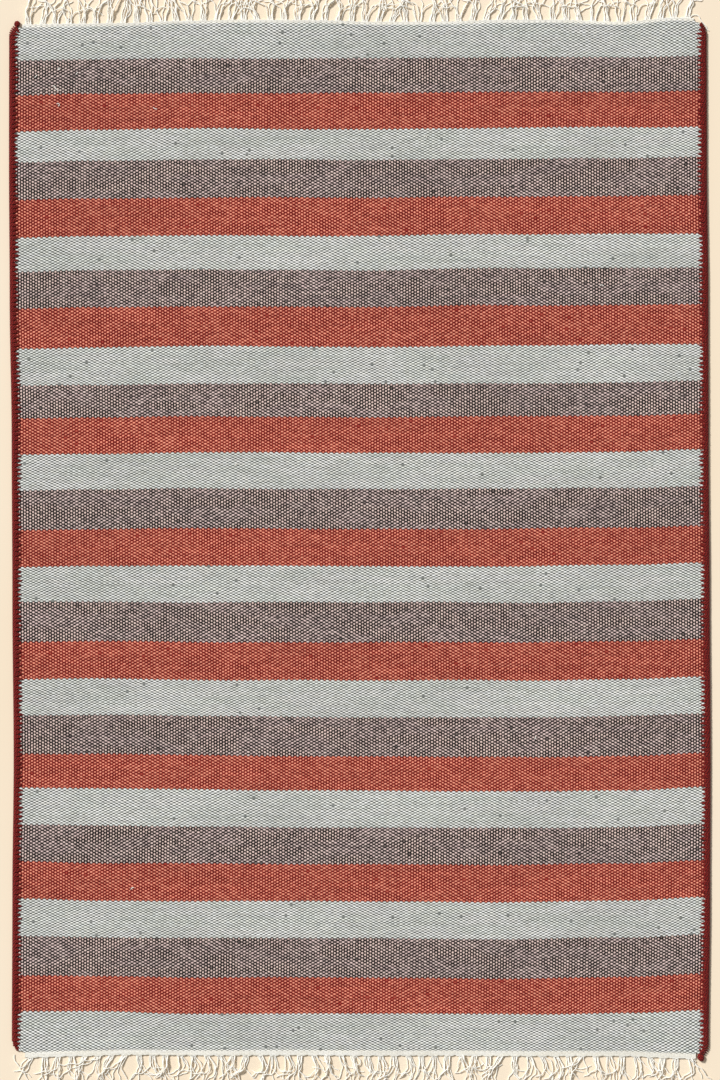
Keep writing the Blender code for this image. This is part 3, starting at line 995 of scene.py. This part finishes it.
def on_edge(edge, length, out, up):
    """A place at a length along the cloth's side, out from it and up."""
    lengths, points, outward = edge
    at = [np.interp(length, lengths, column) for column in points.T]
    away = [np.interp(length, lengths, column) for column in outward.T]
    return Vector((at[0] + away[0] * out, at[1] + away[1] * out, up))


def along_edge(edge, length):
    ahead = on_edge(edge, length + HALF_STEP, 0, 0) - on_edge(edge, length - HALF_STEP, 0, 0)
    return ahead.normalized()


def stitch_strands(draw, edge, middle, size):
    """One stitch: its strands lie side by side on the outer edge and meet where they go into the cloth."""
    bite = draw.uniform(*STITCH_BITE) * size
    slant = draw.uniform(*STITCH_SLANT)
    route = (
        # out from the cloth's edge, up, share of the full spread
        (-bite, 0.0041, 0.10),
        (-bite * 0.72, 0.0051, 0.28),
        (-bite * 0.15, BINDING_TOP * 0.94, 0.66),
        (BINDING_WIDTH * 0.40 * size, BINDING_TOP, 0.95),
        (BINDING_WIDTH * 0.84 * size, BINDING_TOP * 0.82, 1.0),
        (BINDING_WIDTH * size, BINDING_TOP * 0.48, 1.0),
        (BINDING_WIDTH * 0.84 * size, BINDING_TOP * 0.16, 1.0),
        (0.0, STRAND_HEIGHT, 0.75),
        (-bite * 0.8, 0.0010, 0.15),
    )
    strands = []
    for number in range(STRANDS):
        rank = number - (STRANDS - 1) / 2
        rise = draw.uniform(*STRAND_RISE)
        path, along, widths = [], [], []
        for out, up, spread in route:
            length = middle + rank * STITCH_PITCH / STRANDS * spread + slant * (1 - spread)
            height = max((up + rise) * (TAPER_HEIGHT[0] + TAPER_HEIGHT[1] * size), STRAND_HEIGHT)
            path.append(on_edge(edge, length, out, height))
            along.append(along_edge(edge, length))
            widths.append(STRAND_WIDTH * (TAPER_WIDTH[0] + TAPER_WIDTH[1] * spread))
        strands.append((path, along, widths, [STRAND_HEIGHT] * len(route), draw.randrange(LOOKS)))
    return strands


def add_core(bm, edge, start, end, size_at):
    """The outer warps and the yarn along them, under the stitches."""
    path, outward, widths, heights = [], [], [], []
    for ring in range(CORE_RINGS):
        length = start + (end - start) * ring / (CORE_RINGS - 1)
        size = size_at(length)
        up = CORE_MIDDLE[1] * (TAPER_HEIGHT[0] + TAPER_HEIGHT[1] * size)
        path.append(on_edge(edge, length, CORE_MIDDLE[0] * size, up))
        outward.append(along_edge(edge, length).cross(Vector((0, 0, 1))))
        widths.append(CORE_WIDTH * size)
        heights.append(CORE_HEIGHT * size)
    core = (path, outward, widths, heights, CORE_LOOK)
    grow_yarns(bm, [core], CORE_SIDES, CORE_TWISTS, CORE_SQUARE)


def add_knot(bm, draw, side, end):
    """The yarn's end wound into a knot beside the corner."""
    centre = corner_centre(side, end)
    turn = math.radians(KNOT_TURNED)
    away = Vector((side * math.cos(turn), end * math.sin(turn), 0))
    wide, long, high = KNOT_SIZES[side]
    middle = Vector((*centre, high)) + away * (CORNER_RADIUS + KNOT_OUT)
    axes = (away.cross(Vector((0, 0, 1))) * wide, away * long, Vector((0, 0, high)))
    stretch = Matrix(axes).transposed()
    windings = []
    for number in range(KNOT_WINDINGS):
        level = KNOT_LEVELS * (1 - 2 * (number + 0.5) / KNOT_WINDINGS)
        around = number * GOLDEN_TURN
        across = math.sqrt(1 - level**2)
        axis = Vector((across * math.cos(around), across * math.sin(around), level))
        first = axis.orthogonal().normalized()
        second = axis.cross(first)
        reach = KNOT_REACH + KNOT_REACH_STEP * (number % KNOT_REACHES)
        path = []
        for step in range(KNOT_STEPS):
            wound = TURN * KNOT_WOUND * step / (KNOT_STEPS - 1)
            path.append(middle + stretch @ ((first * math.cos(wound) + second * math.sin(wound)) * reach))
        widths = [STRAND_WIDTH * KNOT_STRAND_WIDER] * KNOT_STEPS
        heights = [STRAND_HEIGHT * KNOT_STRAND_THICKER] * KNOT_STEPS
        sideways = [(stretch @ axis).normalized()] * KNOT_STEPS
        windings.append((path, sideways, widths, heights, draw.randrange(LOOKS)))
    grow_yarns(bm, windings, STRAND_SIDES, KNOT_TWISTS, STITCH_SQUARE)


for side, name, knot_end in ((LEFT, "selvedge_left", FAR), (RIGHT, "selvedge_right", NEAR)):
    draw = random.Random(BINDING_SEED + side)
    near_degrees = KNOT_DEGREES if knot_end == NEAR else TAPER_DEGREES
    far_degrees = KNOT_DEGREES if knot_end == FAR else TAPER_DEGREES
    edge = edge_line(side, near_degrees, far_degrees)
    whole = edge[0][-1]

    def size_at(length):
        """1 along the side, and smaller where the binding tapers away."""
        from_taper = length if knot_end == FAR else whole - length
        return min(1.0, TAPER_SIZE + (1 - TAPER_SIZE) * from_taper / TAPER_LENGTH)

    stitches = round(whole / STITCH_PITCH)
    half = stitches // 2
    for half_name, end, first, last in (("near", NEAR, 0, half), ("far", FAR, half, stitches)):
        bm = new_weave()
        strands = []
        for number in range(first, last):
            middle = whole * (number + 0.5) / stitches
            strands += stitch_strands(draw, edge, middle, size_at(middle))
        grow_yarns(bm, strands, STRAND_SIDES, STRAND_TWISTS, STITCH_SQUARE)
        add_core(bm, edge, whole * first / stitches, whole * last / stitches, size_at)
        if end == knot_end:
            add_knot(bm, draw, side, end)
        finish_piece(f"{name}_{half_name}_half", bm, [BINDING_WOOL], "red_binding", name)


# Studio
# A plain pale cream floor, a soft key from the upper left as in the photo, and the camera straight above.

FLOOR_SIDE = 9.0
FLOOR_DROP = 0.0003
FLOOR_TINTS = ((240, 222, 196), (243, 227, 204))
FLOOR_ROUGHNESS = 0.7
LIGHT_FALLS = (0.85, -0.70, -1.0)
KEY_STRENGTH, KEY_DEGREES = 3.6, 11
SKY_COLOUR, SKY_STRENGTH = (1.0, 0.99, 0.97, 1.0), 0.30
CAMERA_LENS = 100.0
SENSOR = 36.0
VIEW_LENGTH = 1.8954
VIEW_MIDDLE = (0.0, -0.0044)
VIEW_ENDS = 50.0

bm = bmesh.new()
bmesh.ops.create_grid(bm, x_segments=1, y_segments=1, size=FLOOR_SIDE / 2)
bmesh.ops.translate(bm, verts=bm.verts, vec=(0, 0, -FLOOR_DROP))
floor_mesh = bpy.data.meshes.new("floor")
bm.to_mesh(floor_mesh)
bm.free()
floor = bpy.data.objects.new("floor", floor_mesh)
bpy.context.scene.collection.objects.link(floor)
floor_material, floor_tree, floor_shader = plain_material("cream_floor")
floor_place = node(floor_tree, "ShaderNodeTexCoord", {}).outputs["Object"]
floor_spot = node(floor_tree, "ShaderNodeSeparateXYZ", {0: floor_place}).outputs
floor_cloud = noise(floor_tree, floor_spot[0], floor_spot[1], 0.0)
floor_share = remap(floor_tree, floor_cloud, *NOISE_BODY, 0.0, 1.0)
floor_colour = blend(floor_tree, floor_share, linear(FLOOR_TINTS[0]), linear(FLOOR_TINTS[1]))
feed(floor_tree, floor_shader.inputs["Base Color"], floor_colour)
floor_shader.inputs["Roughness"].default_value = FLOOR_ROUGHNESS
floor_mesh.materials.append(floor_material)

key = bpy.data.lights.new("key", "SUN")
key.energy = KEY_STRENGTH
key.angle = math.radians(KEY_DEGREES)
key_light = bpy.data.objects.new("key", key)
key_light.rotation_euler = Vector(LIGHT_FALLS).to_track_quat("-Z", "Y").to_euler()
bpy.context.scene.collection.objects.link(key_light)

world = bpy.data.worlds.new("studio")
world.use_nodes = True
sky = world.node_tree.nodes["Background"]
sky.inputs["Color"].default_value = SKY_COLOUR
sky.inputs["Strength"].default_value = SKY_STRENGTH
bpy.context.scene.world = world

camera = bpy.data.cameras.new("camera")
camera.lens = CAMERA_LENS
camera.sensor_width = SENSOR
camera.clip_end = VIEW_ENDS
eye = bpy.data.objects.new("camera", camera)
eye.location = (*VIEW_MIDDLE, CLOTH_THICK + VIEW_LENGTH * CAMERA_LENS / SENSOR)
bpy.context.scene.collection.objects.link(eye)
bpy.context.scene.camera = eye
bpy.context.scene.view_settings.view_transform = "Standard"
